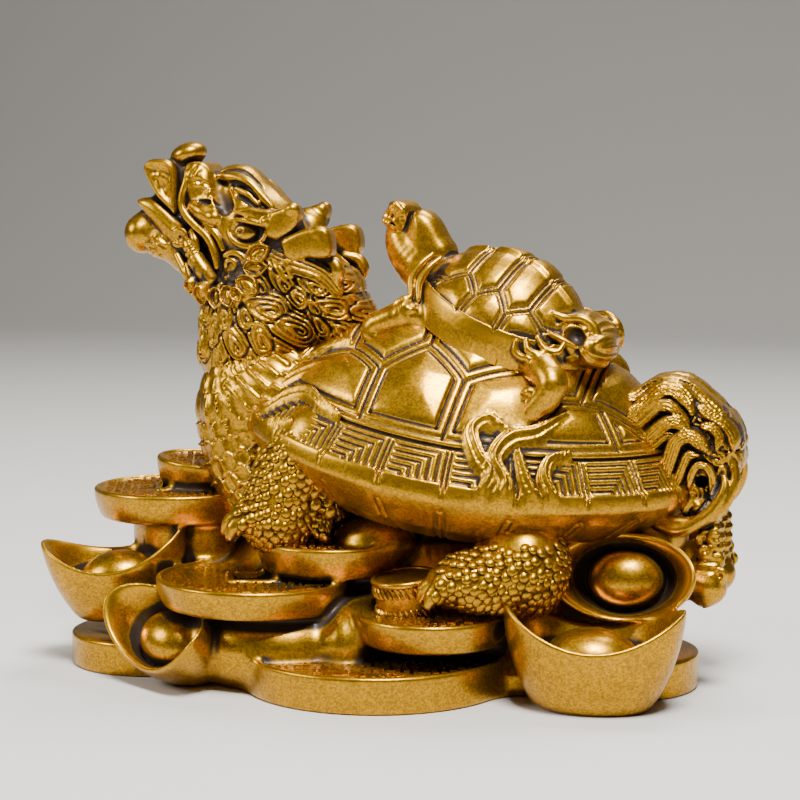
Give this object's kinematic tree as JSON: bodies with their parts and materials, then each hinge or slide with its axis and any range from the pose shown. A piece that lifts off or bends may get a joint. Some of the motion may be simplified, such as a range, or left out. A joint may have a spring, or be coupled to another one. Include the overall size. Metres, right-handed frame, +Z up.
{
  "type": "dragon turtle figure",
  "caption": "Cast figure of a dragon-headed turtle with a young turtle on its shell, standing on a heap of old coins and boat-shaped ingots.",
  "frame": {"origin": "middle of the flat underside of the heap", "axes": "+Z up, +X from the dragon's head towards its tail, -Y towards the figure's left flank"},
  "size_m": [0.1558, 0.0987, 0.1183],
  "materials": {
    "gilt_resin": "metallic gold lacquer over cast resin, dark in the hollows"
  },
  "bodies": {
    "root": {"dragon_turtle_figure": "gilt_resin"}
  },
  "joints": []
}
